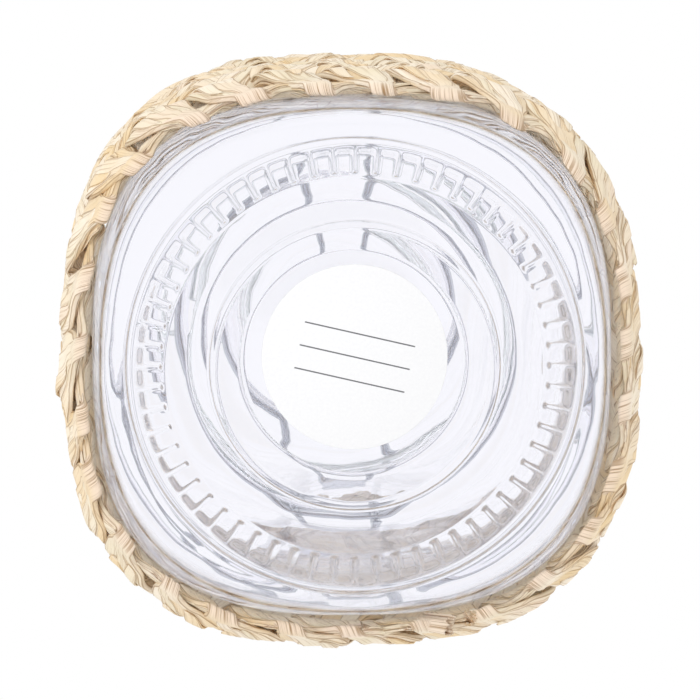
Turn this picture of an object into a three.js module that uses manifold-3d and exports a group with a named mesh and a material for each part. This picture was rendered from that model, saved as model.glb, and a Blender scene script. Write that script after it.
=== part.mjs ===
// Clip-top storage jar: a rounded-square glass body with a hinged glass lid, a seal, a wire clasp
// and a sleeve of plaited rush. Millimetres, +Z up. The origin is the centre of the ring that the
// jar stands on. The lid hinge is at +Y and the clasp at -Y.

import * as THREE from 'three';
import { mergeVertices } from 'three/addons/utils/BufferGeometryUtils.js';
import Module from 'manifold-3d';

const wasm = await Module();
wasm.setup();

// Clearances
const seatGap = 0.3;          // between pieces that rest on each other
const runGap = 0.35;          // round a wire that turns in an eye
const sleeveGap = 0.5;        // between the glass and the sleeve

// Glass body
const bodyHalfWidth = 56;     // centre to the middle of a side
const bodyPower = 2.75;       // exponent of the superellipse: 2 is a circle
const bodyTop = 98;           // where the shoulder starts
const heelHeight = 18;
const heelReach = 9;          // from the stand ring out to the side
const wall = 4.2;
const floorThickness = 4.5;
const shoulderHeight = 18;

// Stand ring and the raised panel inside it
const standWidth = 6.4;
const standStep = 1.1;        // the ring's inner face
const pushUp = 3;             // height of the raised panel
const panelRadius = 24.5;
const panelSlope = 5.5;       // width of the slope round the panel

// Neck and rim
const neckRadius = 45;
const neckWall = 3.5;
const neckHeight = 6;         // the groove that holds the neck wire
const beadReach = 3.5;        // from the neck out to the rim bead
const beadHeight = 8;
const rimEdge = 1.2;          // bevels of the bead

// Seal
const sealThickness = 2.6;
const sealInset = 0.8;        // from the bead in to the seal
const tabLength = 9;          // pull tab
const tabWidth = 12;

// Glass lid
const flangeInset = 0.5;      // from the bead in to the lid's flange
const flangeThickness = 4.8;
const plateauRadius = 31;
const plateauRise = 5;
const lidEdge = 1.5;          // bevels of the lid
const bossInset = 1.2;        // from the mouth in to the lid's boss
const bossDepth = 3;
const bossWidth = 3.5;
const lidHollow = 3;          // recess under the lid

// Wires
const wireRadius = 1.4;
const eyeWireRadius = 1.2;    // thinner wire of the eyes and the hinge posts
const wireBend = 3;           // reach of a bend each side of its corner
const hingeEyeX = 5;          // hinge eyes, each side of the middle
const hingeLegX = 9.5;        // lid wire's legs to the hinge
const hingeLift = 0.8;        // hinge axis above the lid's underside
const tongueX = 13.5;         // lid wire's legs to the clasp
const keeperX = 12.5;         // half length of the keeper bar on the neck wire
const keeperRootX = 17;       // where the keeper leaves the neck
const keeperStand = 2.1;      // from the bead out to the keeper bar

// Clasp
const claspX = 9.5;           // clasp legs, each side of the middle
const hookGap = 0.4;          // under the keeper when the clasp is shut
const hookCover = 1;          // how far the hooks reach past the keeper's middle
const legGap = 0.5;           // from the keeper out to the clasp's legs
const claspLength = 31;       // from the pivot down to the finger bar
const fingerGap = 0.5;        // from the side of the jar out to the finger bar
const releaseAngle = THREE.MathUtils.degToRad(8);   // the clasp hangs this far off the shut place

// Plaited sleeve
const strandsInRow = 3;
const plaitPeriods = 9;       // waves of one strand round the jar
const stopsInPeriod = 6;      // they fall on the crossings and on the turns at the edges
const sleeveBottom = 8;
const strandWidth = 7.3;
const strandThickness = 2.7;
const passGap = 0.7;          // between strands that pass side by side
const crossGap = 0.8;         // between strands at a crossing
const rowGap = 0.4;

// Paper label under the base
const labelRadius = 19.75;
const labelShift = 1.7;       // it was stuck on this far off the middle, towards the hinge
const labelThickness = 0.25;

// Facet counts
const bodySides = 48;
const curveSteps = 5;         // rings in the heel and in the shoulder
const lidSides = 40;
const wireSides = 6;
const bendSteps = 4;
const bendFrom = Math.PI / 7; // a wire's corner that turns less stays as it is
const eyeSides = 14;
const ringSides = 40;
const outlineSteps = 1440;    // along the sleeve's route, before its stops are picked

// Levels and radii that follow from the sizes above
const standRadius = bodyHalfWidth - heelReach;
const neckFoot = bodyTop + shoulderHeight;
const beadFoot = neckFoot + neckHeight;
const rimTop = beadFoot + beadHeight;
const beadRadius = neckRadius + beadReach;
const mouthRadius = neckRadius - neckWall;
const floorTop = pushUp + floorThickness;
const sealFoot = rimTop + seatGap;
const lidFoot = sealFoot + sealThickness + seatGap;
const flangeTop = lidFoot + flangeThickness;
const flangeRadius = beadRadius - flangeInset;
const bossRadius = mouthRadius - bossInset;
const eyeHole = wireRadius + runGap;
const eyeRing = eyeHole + eyeWireRadius;
const eyeReach = eyeRing + eyeWireRadius;
const neckWireRadius = neckRadius + seatGap + wireRadius;
const neckWireZ = neckFoot + neckHeight / 2;
const keeperY = -(beadRadius + keeperStand);
const lidWireZ = flangeTop + seatGap + wireRadius;
const lidWireRadius = plateauRadius + seatGap + wireRadius;
const hingeY = flangeRadius + eyeReach + runGap;
const hingeZ = lidFoot + hingeLift;
const claspY = -(flangeRadius + eyeReach + runGap);

// A strand swings this far from its row's middle, and this far in and out at a crossing. Rows
// nest: the turns of one lie between those of the next, and they fill the straight side.
const strandSwing = strandWidth + passGap;
const weaveDepth = (strandThickness + crossGap) / 2;
const sleeveMiddle = sleeveGap + strandThickness / 2 + weaveDepth;
const rowWidth = 2 * strandSwing + strandWidth;
const rowPitch = 1.5 * strandSwing + strandWidth + rowGap;
const plaitRows = Math.floor((bodyTop - sleeveBottom - rowWidth) / rowPitch) + 1;

const X_AXIS = new THREE.Vector3(1, 0, 0);
const Z_AXIS = new THREE.Vector3(0, 0, 1);

// Joins rings of points into one closed surface. A looped list closes on its first ring, and an
// open one gets a fan at each end.
function skin(rings, looped = false) {
  const sides = rings[0].length;
  const positions = rings.flat().flatMap((p) => [p.x, p.y, p.z]);
  const index = [];
  const spans = looped ? rings.length : rings.length - 1;
  for (let i = 0; i < spans; i++) {
    const near = i * sides;
    const far = ((i + 1) % rings.length) * sides;
    for (let j = 0; j < sides; j++) {
      const next = (j + 1) % sides;
      index.push(near + j, near + next, far + next, near + j, far + next, far + j);
    }
  }
  if (!looped) {
    const last = (rings.length - 1) * sides;
    const ends = [rings[0], rings[rings.length - 1]].map(middleOf);
    const centre = positions.length / 3;
    ends.forEach((p) => positions.push(p.x, p.y, p.z));
    for (let j = 0; j < sides; j++) {
      const next = (j + 1) % sides;
      index.push(centre, next, j, centre + 1, last + j, last + next);
    }
  }
  const geometry = new THREE.BufferGeometry();
  geometry.setAttribute('position', new THREE.Float32BufferAttribute(positions, 3));
  geometry.setIndex(index);
  geometry.computeVertexNormals();
  return geometry;
}

function middleOf(points) {
  const sum = points.reduce((total, p) => total.add(p), new THREE.Vector3());
  return sum.divideScalar(points.length);
}

// A round wire along a list of points, its rings carried from point to point without twist.
function wire(path, radius, looped = false) {
  const count = path.length;
  const at = (i) => path[looped ? (i + count) % count : THREE.MathUtils.clamp(i, 0, count - 1)];
  const tangents = path.map((p, i) => at(i + 1).clone().sub(at(i - 1)).normalize());
  const start = Math.abs(tangents[0].z) < 0.9 ? Z_AXIS : X_AXIS;
  let side = new THREE.Vector3().crossVectors(start, tangents[0]).normalize();
  const rings = path.map((p, i) => {
    side = side.clone().addScaledVector(tangents[i], -side.dot(tangents[i])).normalize();
    const up = new THREE.Vector3().crossVectors(tangents[i], side);
    return Array.from({ length: wireSides }, (_, j) => {
      const angle = 2 * Math.PI * j / wireSides;
      const outward = side.clone().multiplyScalar(Math.cos(angle)).addScaledVector(up, Math.sin(angle));
      return p.clone().addScaledVector(outward, radius);
    });
  });
  return skin(rings, looped);
}

// Bends every sharp corner of a list of points round a curve.
function bend(points, looped = false) {
  const count = points.length;
  return points.flatMap((corner, i) => {
    if (!looped && (i === 0 || i === count - 1)) return [corner];
    const before = points[(i - 1 + count) % count].clone().sub(corner);
    const after = points[(i + 1) % count].clone().sub(corner);
    const turn = Math.PI - before.angleTo(after);
    if (turn < bendFrom) return [corner];
    const reach = Math.min(wireBend, before.length() / 2, after.length() / 2);
    const from = corner.clone().addScaledVector(before.normalize(), reach);
    const to = corner.clone().addScaledVector(after.normalize(), reach);
    return new THREE.QuadraticBezierCurve3(from, corner, to).getPoints(bendSteps);
  });
}

// Points on a level circle, from one angle to another.
function arc(radius, z, from, to, steps) {
  return Array.from({ length: steps + 1 }, (_, i) => {
    const angle = from + (to - from) * i / steps;
    return new THREE.Vector3(radius * Math.cos(angle), radius * Math.sin(angle), z);
  });
}

// A wire eye whose hole runs along X.
function eye(x, y, z) {
  return new THREE.TorusGeometry(eyeRing, eyeWireRadius, wireSides, eyeSides)
    .rotateY(Math.PI / 2)
    .translate(x, y, z);
}

function toSolid(geometry) {
  const bare = geometry.clone();
  bare.deleteAttribute('normal');
  bare.deleteAttribute('uv');
  const merged = mergeVertices(bare, 1e-4);
  return new wasm.Manifold(new wasm.Mesh({
    numProp: 3,
    vertProperties: new Float32Array(merged.attributes.position.array),
    triVerts: new Uint32Array(merged.index.array),
  }));
}

// Welds overlapping pieces of wire into one solid.
function weld(geometries) {
  const solid = geometries.map(toSolid).reduce((joined, next) => joined.add(next));
  const mesh = solid.getMesh();
  const geometry = new THREE.BufferGeometry();
  geometry.setAttribute('position', new THREE.Float32BufferAttribute(mesh.vertProperties, 3));
  geometry.setIndex(Array.from(mesh.triVerts));
  geometry.computeVertexNormals();
  return geometry;
}

// A point of the glass on a level. The outline is a superellipse: squareness runs from 0, a circle,
// to 1, the rounded square of the body.
function glassPoint(angle, halfWidth, z, squareness = 0) {
  const power = 2 + (bodyPower - 2) * squareness;
  const c = Math.abs(Math.cos(angle)) ** power;
  const s = Math.abs(Math.sin(angle)) ** power;
  const radius = halfWidth / (c + s) ** (1 / power);
  return new THREE.Vector3(radius * Math.cos(angle), radius * Math.sin(angle), z);
}

function glassRing(...level) {
  return Array.from({ length: bodySides }, (_, i) => glassPoint(2 * Math.PI * i / bodySides, ...level));
}

// The outside's half width, height and squareness on a level. The heel is a quarter ellipse from the
// round stand ring up to the side.
function outsideAt(z) {
  const cos = Math.max(0, 1 - z / heelHeight);
  const sin = Math.sqrt(1 - cos ** 2);
  return [standRadius + heelReach * sin, z, sin ** 2];
}

// A quarter ellipse of rings between two levels, round at one end and square at the other.
function glassCurve(place) {
  return Array.from({ length: curveSteps + 1 }, (_, i) => {
    const turn = Math.PI / 2 * i / curveSteps;
    return glassRing(...place(Math.sin(turn), Math.cos(turn)));
  });
}

function glassJar() {
  const insideHalf = bodyHalfWidth - wall;
  const floorRadius = standRadius - wall;
  const standInner = standRadius - standWidth;
  const underside = [
    glassRing(panelRadius, pushUp),
    glassRing(panelRadius + panelSlope, standStep),
    glassRing(standInner - standStep, standStep),
    glassRing(standInner, 0),
  ];
  const heel = glassCurve((sin, cos) => outsideAt(heelHeight * (1 - cos)));
  const shoulder = glassCurve((sin, cos) => [
    neckRadius + (bodyHalfWidth - neckRadius) * cos,
    bodyTop + shoulderHeight * sin,
    cos ** 2,
  ]);
  const rim = [
    glassRing(neckRadius, beadFoot),
    glassRing(beadRadius - rimEdge, beadFoot),
    glassRing(beadRadius, beadFoot + rimEdge),
    glassRing(beadRadius, rimTop - rimEdge),
    glassRing(beadRadius - rimEdge, rimTop),
    glassRing(mouthRadius + rimEdge, rimTop),
    glassRing(mouthRadius, rimTop - rimEdge),
  ];
  const insideShoulder = glassCurve((sin, cos) => [
    mouthRadius + (insideHalf - mouthRadius) * sin,
    bodyTop + (shoulderHeight - wall) * cos,
    sin ** 2,
  ]);
  const insideHeel = glassCurve((sin, cos) => [
    floorRadius + (insideHalf - floorRadius) * cos,
    floorTop + heelHeight * (1 - sin),
    cos ** 2,
  ]);
  return skin([...underside, ...heel, ...shoulder, ...rim, ...insideShoulder, ...insideHeel]);
}

// A turned piece from its profile of radius and height pairs.
function turned(profile) {
  const points = profile.map(([radius, z]) => new THREE.Vector2(radius, z));
  return new THREE.LatheGeometry(points, lidSides).rotateX(Math.PI / 2);
}

function glassLid() {
  const plateauTop = flangeTop + plateauRise;
  const bossFoot = lidFoot - bossDepth;
  return turned([
    [0, lidFoot + lidHollow],
    [bossRadius - 2 * bossWidth, lidFoot + lidHollow],
    [bossRadius - bossWidth, bossFoot],
    [bossRadius, bossFoot],
    [bossRadius, lidFoot],
    [flangeRadius - lidEdge, lidFoot],
    [flangeRadius, lidFoot + lidEdge],
    [flangeRadius, flangeTop - lidEdge],
    [flangeRadius - lidEdge, flangeTop],
    [plateauRadius, flangeTop],
    [plateauRadius, flangeTop + plateauRise - lidEdge],
    [plateauRadius - lidEdge, plateauTop],
    [0, plateauTop],
  ]);
}

// The seal is a flat ring with a round-ended pull tab at +X.
function seal() {
  const outer = beadRadius - sealInset;
  const half = tabWidth / 2;
  const root = Math.asin(half / outer);
  const flat = (points) => points.map((p) => new THREE.Vector2(p.x, p.y));
  const rim = flat(arc(outer, 0, root, 2 * Math.PI - root, ringSides));
  const tabEnd = flat(arc(half, 0, -Math.PI / 2, Math.PI / 2, bendSteps * 2));
  tabEnd.forEach((p) => p.setX(p.x + outer + tabLength - half));
  const shape = new THREE.Shape([...rim, ...tabEnd]);
  const hole = flat(arc(bossRadius + seatGap, 0, 0, 2 * Math.PI, ringSides)).slice(1);
  shape.holes.push(new THREE.Path(hole));
  const ring = new THREE.ExtrudeGeometry(shape, { depth: sealThickness, bevelEnabled: false });
  return ring.translate(0, 0, sealFoot);
}

// The neck wire lies in the groove under the bead. It stands off the glass in front, as the
// keeper bar for the clasp, and carries the two hinge eyes on posts at the back.
function neckWire() {
  const root = Math.asin(keeperRootX / neckWireRadius) - Math.PI / 2;
  const loop = bend([
    ...arc(neckWireRadius, neckWireZ, root, Math.PI - root, ringSides),
    new THREE.Vector3(-keeperX, keeperY, neckWireZ),
    new THREE.Vector3(keeperX, keeperY, neckWireZ),
  ], true);
  const pieces = [wire(loop, wireRadius, true)];
  for (const x of [-hingeEyeX, hingeEyeX]) {
    const post = bend([
      new THREE.Vector3(x, Math.sqrt(neckWireRadius ** 2 - x ** 2), neckWireZ),
      new THREE.Vector3(x, hingeY, neckWireZ),
      new THREE.Vector3(x, hingeY, hingeZ - eyeRing),
    ]);
    pieces.push(wire(post, eyeWireRadius), eye(x, hingeY, hingeZ));
  }
  return weld(pieces);
}

// The lid wire goes round the lid's plateau. Its tongue carries the clasp in front, and its
// back bar turns in the hinge eyes.
function lidWire() {
  const tongueRoot = Math.asin(tongueX / lidWireRadius) - Math.PI / 2;
  const hingeRoot = Math.acos(hingeLegX / lidWireRadius);
  const right = [
    new THREE.Vector3(tongueX, claspY, lidWireZ),
    ...arc(lidWireRadius, lidWireZ, tongueRoot, hingeRoot, ringSides / 2),
    new THREE.Vector3(hingeLegX, hingeY - wireRadius, lidWireZ),
    new THREE.Vector3(hingeLegX, hingeY, hingeZ),
  ];
  const left = right.map((p) => new THREE.Vector3(-p.x, p.y, p.z)).reverse();
  return wire(bend([...right, ...left], true), wireRadius, true);
}

// The clasp in its shut place, measured from its pivot: two legs that pass in front of the keeper,
// a finger bar that joins them, and a hook from each leg in under the keeper.
function clasp() {
  const keeper = { y: keeperY - claspY, z: neckWireZ - lidWireZ };
  const legY = keeper.y - 2 * wireRadius - legGap;
  const hookZ = keeper.z - 2 * wireRadius - hookGap;
  const fingerY = -(bodyHalfWidth + fingerGap + wireRadius) - claspY;
  const right = [
    new THREE.Vector3(claspX, 0, -eyeRing),
    new THREE.Vector3(claspX, legY, keeper.z),
    new THREE.Vector3(claspX, legY, hookZ),
    new THREE.Vector3(claspX, fingerY, -claspLength),
  ];
  const left = right.map((p) => new THREE.Vector3(-p.x, p.y, p.z)).reverse();
  const pieces = [wire(bend([...right, ...left]), wireRadius)];
  for (const x of [-claspX, claspX]) {
    const hook = [new THREE.Vector3(x, legY, hookZ), new THREE.Vector3(x, keeper.y + hookCover, hookZ)];
    pieces.push(wire(hook, wireRadius), eye(x, 0, 0));
  }
  return weld(pieces);
}

// The sleeve's route: even steps along the outline that the middle of the plait follows. Each stop
// has its angle round the jar and the outward direction there.
function sleeveStops(count) {
  const side = (angle) => glassPoint(angle, bodyHalfWidth, 0, 1);
  const half = Math.PI / outlineSteps;
  const stops = Array.from({ length: outlineSteps + 1 }, (_, i) => {
    const angle = 2 * half * i;
    const out = side(angle + half).sub(side(angle - half)).cross(Z_AXIS).normalize();
    return { angle, out, middle: side(angle).addScaledVector(out, sleeveMiddle) };
  });
  const lengths = [0];
  for (let i = 1; i <= outlineSteps; i++) {
    lengths.push(lengths[i - 1] + stops[i].middle.distanceTo(stops[i - 1].middle));
  }
  return Array.from({ length: count }, (_, i) => {
    const goal = lengths[outlineSteps] * (i + 0.5) / count;
    return stops[lengths.findIndex((length) => length >= goal)];
  });
}

// A three-strand plait: each strand swings from edge to edge once a period, a third of a period
// behind the one before, and passes over and under at every crossing. It lies on the glass, so the
// lowest row leans in over the heel.
function strand(row, number) {
  const rowZ = sleeveBottom + rowWidth / 2 + row * rowPitch;
  const overUnder = weaveDepth / Math.sin(Math.PI / strandsInRow);
  const rings = sleeveStops(plaitPeriods * stopsInPeriod).map(({ angle, out }, i) => {
    const phase = 2 * Math.PI * ((i + 0.5) / stopsInPeriod + number / strandsInRow);
    const z = rowZ + strandSwing * Math.sin(phase);
    const depth = sleeveMiddle + overUnder * Math.sin(2 * phase);
    const corner = (outward, up) => {
      return glassPoint(angle, ...outsideAt(z + up)).addScaledVector(out, depth + outward);
    };
    return [
      corner(strandThickness / 2, 0),
      corner(0, -strandWidth / 2),
      corner(-strandThickness / 2, 0),
      corner(0, strandWidth / 2),
    ];
  });
  return skin(rings, true);
}

function label() {
  return new THREE.CylinderGeometry(labelRadius, labelRadius, labelThickness, bodySides)
    .rotateX(Math.PI / 2)
    .translate(0, labelShift, pushUp - seatGap - labelThickness / 2);
}

const glass = () => new THREE.MeshStandardMaterial({
  color: 0xf3f3fd, roughness: 0.02, metalness: 0, transparent: true, opacity: 0.35,
});
const paper = () => new THREE.MeshStandardMaterial({ color: 0xfafafa, roughness: 0.8, metalness: 0 });
const silicone = () => new THREE.MeshStandardMaterial({ color: 0xeef0f0, roughness: 0.5, metalness: 0 });
const steel = () => new THREE.MeshStandardMaterial({ color: 0xbec5cb, roughness: 0.25, metalness: 1 });
const rush = () => new THREE.MeshStandardMaterial({ color: 0xe6cf9f, roughness: 0.85, metalness: 0 });

function piece(name, geometry, material) {
  const mesh = new THREE.Mesh(geometry, material);
  mesh.name = name;
  return mesh;
}

const jar = new THREE.Group();
jar.add(piece('glass_jar', glassJar(), glass()));
jar.add(piece('base_label', label(), paper()));
jar.add(piece('neck_wire', neckWire(), steel()));
for (let row = 0; row < plaitRows; row++) {
  for (let number = 0; number < strandsInRow; number++) {
    const strandName = `plait_row${row + 1}_strand${number + 1}`;
    jar.add(piece(strandName, strand(row, number), rush()));
  }
}

const lid = new THREE.Group();
lid.add(piece('glass_lid', glassLid(), glass()));
lid.add(piece('seal_ring', seal(), silicone()));
lid.add(piece('lid_wire', lidWire(), steel()));

const claspGroup = new THREE.Group();
claspGroup.position.set(0, claspY, lidWireZ);
claspGroup.rotation.x = -releaseAngle;
claspGroup.add(piece('clasp_lever', clasp(), steel()));
lid.add(claspGroup);
jar.add(lid);

export default jar;
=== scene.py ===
# %% [markdown]
# # A clip-top glass jar in a plaited rush sleeve
# The imported model gives every piece its place. This lesson dresses it: pressed glass with a ribbed foot,
# a sleeve of dry leaf plaited in four rows, drawn steel wire, a silicone seal and a paper label.
# The imported parts are kept, hidden, and each dressed piece prints the height of the part it dresses.

# %% Load the frame
import math

import bmesh
import bpy
import numpy as np
from mathutils import Matrix, Vector


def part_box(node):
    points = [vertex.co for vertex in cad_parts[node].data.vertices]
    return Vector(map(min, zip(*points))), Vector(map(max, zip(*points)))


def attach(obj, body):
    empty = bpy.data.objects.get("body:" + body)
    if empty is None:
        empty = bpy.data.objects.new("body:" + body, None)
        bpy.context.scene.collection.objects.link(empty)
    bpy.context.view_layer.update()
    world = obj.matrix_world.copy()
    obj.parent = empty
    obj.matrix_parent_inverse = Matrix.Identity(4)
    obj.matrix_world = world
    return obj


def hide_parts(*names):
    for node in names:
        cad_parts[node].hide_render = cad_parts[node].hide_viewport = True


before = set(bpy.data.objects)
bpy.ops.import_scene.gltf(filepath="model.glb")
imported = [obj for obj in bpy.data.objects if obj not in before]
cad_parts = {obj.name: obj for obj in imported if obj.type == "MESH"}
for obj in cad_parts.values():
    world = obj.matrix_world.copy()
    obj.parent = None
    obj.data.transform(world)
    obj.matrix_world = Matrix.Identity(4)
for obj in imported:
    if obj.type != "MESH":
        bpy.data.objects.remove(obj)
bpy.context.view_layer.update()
scene = bpy.context.scene
mm = 0.001

# %% [markdown]
# ## Camera
# The jar is looked at from below, tipped a little, so that the far side of the sleeve shows too. A long
# lens from under a metre away keeps the sides of the jar close to upright, as a product picture does.

# %% Camera
view_tilt = math.radians(6.5)
view_turn = math.radians(2.2)  # to one side
view_distance = 0.9
view_width = 148.1 * mm        # what the frame spans at the foot of the jar
view_target = Vector((1.1, 3.5, 0)) * mm

camera_data = bpy.data.cameras.new("camera")
camera_data.sensor_width = 36
camera_data.lens = camera_data.sensor_width * view_distance / view_width
camera_data.clip_start, camera_data.clip_end = 0.01, 20
camera = bpy.data.objects.new("camera", camera_data)
back = Vector((math.sin(view_turn), math.sin(view_tilt), -1)).normalized()
camera.location = view_target + back * view_distance
camera.rotation_mode = "QUATERNION"
right = Vector((0, 1, 0)).cross(back).normalized()
camera.rotation_quaternion = Matrix((right, back.cross(right), back)).transposed().to_quaternion()
scene.collection.objects.link(camera)
scene.camera = camera
print("lens:", round(camera_data.lens, 1), "mm at", view_distance, "m")

# %% [markdown]
# ## Colours and nodes
# Colours are written as sRGB hex values, as a paint chart gives them, and turned to the linear values
# that a shader reckons with. One helper adds any node and sets it up: its inputs, its operation if it has
# one, and its other settings. It feeds the inputs with another helper, which takes a plain value, a socket,
# or a node, whose first output it uses. Inputs are given by name, or in order.

# %% Helpers for colours and nodes
# short names for the kinds of node that are used most
MATH, VECTOR = "ShaderNodeMath", "ShaderNodeVectorMath"
RANGE, NOISE = "ShaderNodeMapRange", "ShaderNodeTexNoise"
SPLIT, JOIN, STORE = "ShaderNodeSeparateXYZ", "ShaderNodeCombineXYZ", "GeometryNodeStoreNamedAttribute"


def linear(hex_colour):
    parts = [int(hex_colour[i:i + 2], 16) / 255 for i in (1, 3, 5)]
    return [c / 12.92 if c <= 0.04045 else ((c + 0.055) / 1.055) ** 2.4 for c in parts] + [1.0]


def feed(node, links):
    for key, value in links.items() if isinstance(links, dict) else enumerate(links):
        if isinstance(value, bpy.types.Node):
            value = value.outputs[0]
        if isinstance(value, bpy.types.NodeSocket):
            node.id_data.links.new(value, node.inputs[key])
        else:
            node.inputs[key].default_value = value


def add(tree, kind, links=(), operation=None, **settings):
    made = tree.nodes.new(kind)
    if operation:
        made.operation = operation
    for key, value in settings.items():
        setattr(made, key, value)
    feed(made, links)
    return made


def set_stops(ramp, stops):
    while len(ramp.elements) < len(stops):
        ramp.elements.new(0.5)
    for element, (place, colour) in zip(ramp.elements, stops):
        element.position, element.color = place, linear(colour)


def finish_named(name):
    material = bpy.data.materials.new(name)
    material.use_nodes = True
    tree = material.node_tree
    tree.nodes.clear()
    shader = add(tree, "ShaderNodeBsdfPrincipled")
    add(tree, "ShaderNodeOutputMaterial", {"Surface": shader})
    return material, tree, shader


print("white is", linear("#ffffff"))

# %% [markdown]
# ## Stage
# The table is a pale sheet at the level of the foot. The picture is taken from under it, so its underside
# lets the view through, and it takes no light away from the foot. Soft light comes from all round, and
# rather less of it from the level of the table, which is what draws the edges of clear glass. The leaf
# behind the glass gets its light through the glass alone and would be dull, so that light is raised until
# the leaf there is about as pale as its own colour.

# %% Table
floor_mesh = bpy.data.meshes.new("table")
table_half, table_gap = 2.0, 0.05 * mm
corners = [(x * table_half, y * table_half, 0) for x, y in ((-1, -1), (1, -1), (1, 1), (-1, 1))]
floor_mesh.from_pydata(corners, [], [(0, 1, 2, 3)])
floor = bpy.data.objects.new("table", floor_mesh)
floor.location.z = -table_gap
for rays in ("shadow", "diffuse", "glossy", "transmission"):
    setattr(floor, "visible_" + rays, False)
scene.collection.objects.link(floor)

table_sheet = bpy.data.materials.new("matt_white_sheet")
table_sheet.use_nodes = True
tree = table_sheet.node_tree
tree.nodes.clear()
sheet = add(tree, "ShaderNodeBsdfDiffuse", {"Color": linear("#f4f4f4")})
gone = add(tree, "ShaderNodeBsdfTransparent")
under = add(tree, "ShaderNodeNewGeometry")
both = add(tree, "ShaderNodeMixShader", [under.outputs["Backfacing"], sheet, gone])
add(tree, "ShaderNodeOutputMaterial", {"Surface": both})
floor_mesh.materials.append(table_sheet)
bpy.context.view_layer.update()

# %% Light
world = bpy.data.worlds.new("soft_studio")
world.use_nodes = True
scene.world = world
tree = world.node_tree
tree.nodes.clear()
path = add(tree, "ShaderNodeLightPath")
direction = add(tree, "ShaderNodeTexCoord")
level = add(tree, SPLIT, [direction.outputs["Generated"]])
height = add(tree, RANGE, [level.outputs["Z"], -1.0, 1.0, 0.0, 1.0])
walls = add(tree, "ShaderNodeValToRGB", [height])
set_stops(walls.color_ramp, [(0.0, "#fafaff"), (0.42, "#f6f6fb"), (0.5, "#d0d0d8"), (0.56, "#f3f3f8"),
                             (0.72, "#ffffff")])
inner_strength = 3.4
studio = add(tree, "ShaderNodeBackground", {"Color": walls, "Strength": 1.0})
white, inner = (add(tree, "ShaderNodeBackground", {"Color": linear("#ffffff"), "Strength": strength})
                for strength in (1.0, inner_strength))
through = path.outputs["Is Transmission Ray"]
clear = add(tree, MATH, [path.outputs["Is Glossy Ray"], through], "MAXIMUM")
within = add(tree, MATH, [through, path.outputs["Diffuse Depth"]], "MULTIPLY", use_clamp=True)
seen = add(tree, "ShaderNodeMixShader", [clear, white, studio])
seen = add(tree, "ShaderNodeMixShader", [within, seen, inner])
seen = add(tree, "ShaderNodeMixShader", [path.outputs["Is Camera Ray"], seen, white])
add(tree, "ShaderNodeOutputWorld", {"Surface": seen})

lamps = [("lamp_under", (0.7, 0.5, -0.9), 0.7, 3.5), ("lamp_over", (-0.6, -0.7, 1.1), 0.8, 7.0)]
for name, place, size, power in lamps:
    lamp = bpy.data.lights.new(name, "AREA")
    lamp.size, lamp.energy = size, power
    holder = bpy.data.objects.new(name, lamp)
    holder.location = place
    holder.rotation_mode = "QUATERNION"
    holder.rotation_quaternion = Vector(place).to_track_quat("Z", "Y")
    holder.visible_glossy = holder.visible_transmission = False
    scene.collection.objects.link(holder)
scene.view_settings.view_transform = "Standard"
scene.cycles.max_bounces = scene.cycles.transmission_bounces = 48   # light runs far inside clear glass
scene.cycles.glossy_bounces, scene.cycles.diffuse_bounces = 24, 12
print("lamps:", [name for name, *_ in lamps])

# %% [markdown]
# ## Making pieces
# Small helpers are shared. One makes an object from points. Two begin and end a tree of geometry nodes,
# and another fills it in by its sockets' names and keeps the result as a plain mesh. One hands a finished
# piece to its body, as the stand-in for the solids it dresses. The last two add a closed line to a curve
# and round a profile's corners.

# %% Helpers for pieces
def new_object(name, points, edges=(), faces=()):
    mesh = bpy.data.meshes.new(name)
    mesh.from_pydata([tuple(p) for p in points], list(edges), list(faces))
    mesh.update()
    made = bpy.data.objects.new(name, mesh)
    scene.collection.objects.link(made)
    return made


def new_tree(name, sockets):
    tree = bpy.data.node_groups.new(name, "GeometryNodeTree")
    tree.interface.new_socket("Geometry", in_out="INPUT", socket_type="NodeSocketGeometry")
    for label, kind in sockets.items():
        tree.interface.new_socket(label, in_out="INPUT", socket_type="NodeSocket" + kind)
    tree.interface.new_socket("Geometry", in_out="OUTPUT", socket_type="NodeSocketGeometry")
    return tree, add(tree, "NodeGroupInput").outputs


def end_tree(tree, shape, finish):
    shape = add(tree, "GeometryNodeRealizeInstances", [shape])
    shape = add(tree, "GeometryNodeSetMaterial", {0: shape, "Material": finish})
    add(tree, "NodeGroupOutput", [shape])
    print(tree.name, "has", len(tree.nodes), "nodes")


def settled(piece):
    bpy.context.view_layer.update()
    return bpy.data.meshes.new_from_object(piece.evaluated_get(bpy.context.evaluated_depsgraph_get()))


def grow(piece, tree, values):
    modifier = piece.modifiers.new(tree.name, "NODES")
    modifier.node_group = tree
    for item in tree.interface.items_tree:
        if item.in_out == "INPUT" and item.name in values:
            modifier[item.identifier] = values[item.name]
    piece.data = settled(piece)
    piece.modifiers.clear()
    turn_outward(piece.data)
    return piece


def turn_outward(mesh):
    shape = bmesh.new()
    shape.from_mesh(mesh)
    if shape.calc_volume(signed=True) < 0:
        bmesh.ops.reverse_faces(shape, faces=shape.faces)
        shape.to_mesh(mesh)
    shape.free()


def dress(piece, body, slot, *nodes):
    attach(piece, body)
    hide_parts(*nodes)
    low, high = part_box(nodes[0])
    triangles = sum(len(p.vertices) - 2 for p in piece.data.polygons)
    print(piece.name, "for", nodes[0], triangles, "triangles,", round((high.z - low.z) / mm, 1), "mm high")


def add_loop(curve, points):
    spline = curve.splines.new("POLY")
    spline.points.add(len(points) - 1)
    spline.points.foreach_set("co", [c for x, y in points for c in (x * mm, y * mm, 0, 1)])
    spline.use_cyclic_u = True


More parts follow.
